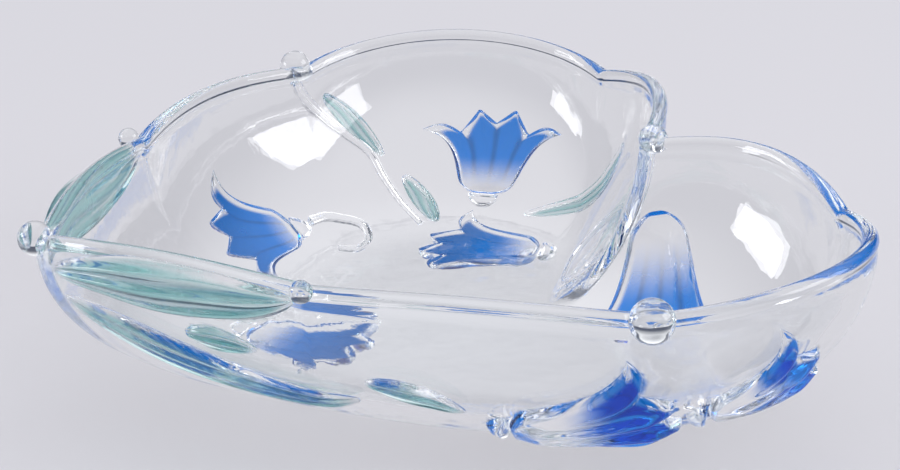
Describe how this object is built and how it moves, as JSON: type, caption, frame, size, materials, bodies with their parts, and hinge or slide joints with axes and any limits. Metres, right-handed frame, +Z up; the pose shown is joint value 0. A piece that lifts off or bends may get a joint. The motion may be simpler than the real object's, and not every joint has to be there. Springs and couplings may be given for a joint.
{
  "type": "heart-shaped bowl",
  "caption": "Shallow heart-shaped pressed glass bowl with a scalloped, beaded rim and blue bellflowers and green leaves in relief on the outside, for serving sweets or fruit.",
  "frame": {"origin": "middle of the bowl's outline on the table top", "axes": "+X from the tip of the heart to its notch, +Y across the heart to its left lobe, +Z up"},
  "size_m": [0.2164, 0.2558, 0.062],
  "materials": {
    "clear_glass": "polished clear pressed glass",
    "blue_glass": "satin glass stained blue, fading to clear at the neck",
    "green_glass": "satin glass stained pale sea green"
  },
  "bodies": {
    "root": {"bowl_shell": "clear_glass", "tip_ball": "clear_glass", "left_bud": "clear_glass", "left_bead": "clear_glass", "notch_bead": "clear_glass", "right_bead": "clear_glass", "right_bud": "clear_glass", "left_front_bell_calyx": "clear_glass", "left_lobe_bell_calyx": "clear_glass", "left_foot_bell_calyx": "clear_glass", "tip_foot_bell_calyx": "clear_glass", "right_front_bell_calyx": "clear_glass", "right_lobe_bell_calyx": "clear_glass", "bead_stem": "clear_glass", "bell_tendril": "clear_glass", "notch_tendril": "clear_glass", "left_front_bell": "blue_glass", "left_lobe_bell": "blue_glass", "left_foot_bell": "blue_glass", "notch_foot_bell": "blue_glass", "tip_foot_bell": "blue_glass", "right_front_bell": "blue_glass", "right_lobe_bell": "blue_glass", "left_rim_leaf": "green_glass", "right_rim_leaf": "green_glass", "keel_leaf": "green_glass", "sprig_leaf": "green_glass", "front_leaf": "green_glass", "bead_leaf": "green_glass", "stem_leaf": "green_glass", "lobe_leaf": "green_glass"}
  },
  "joints": []
}
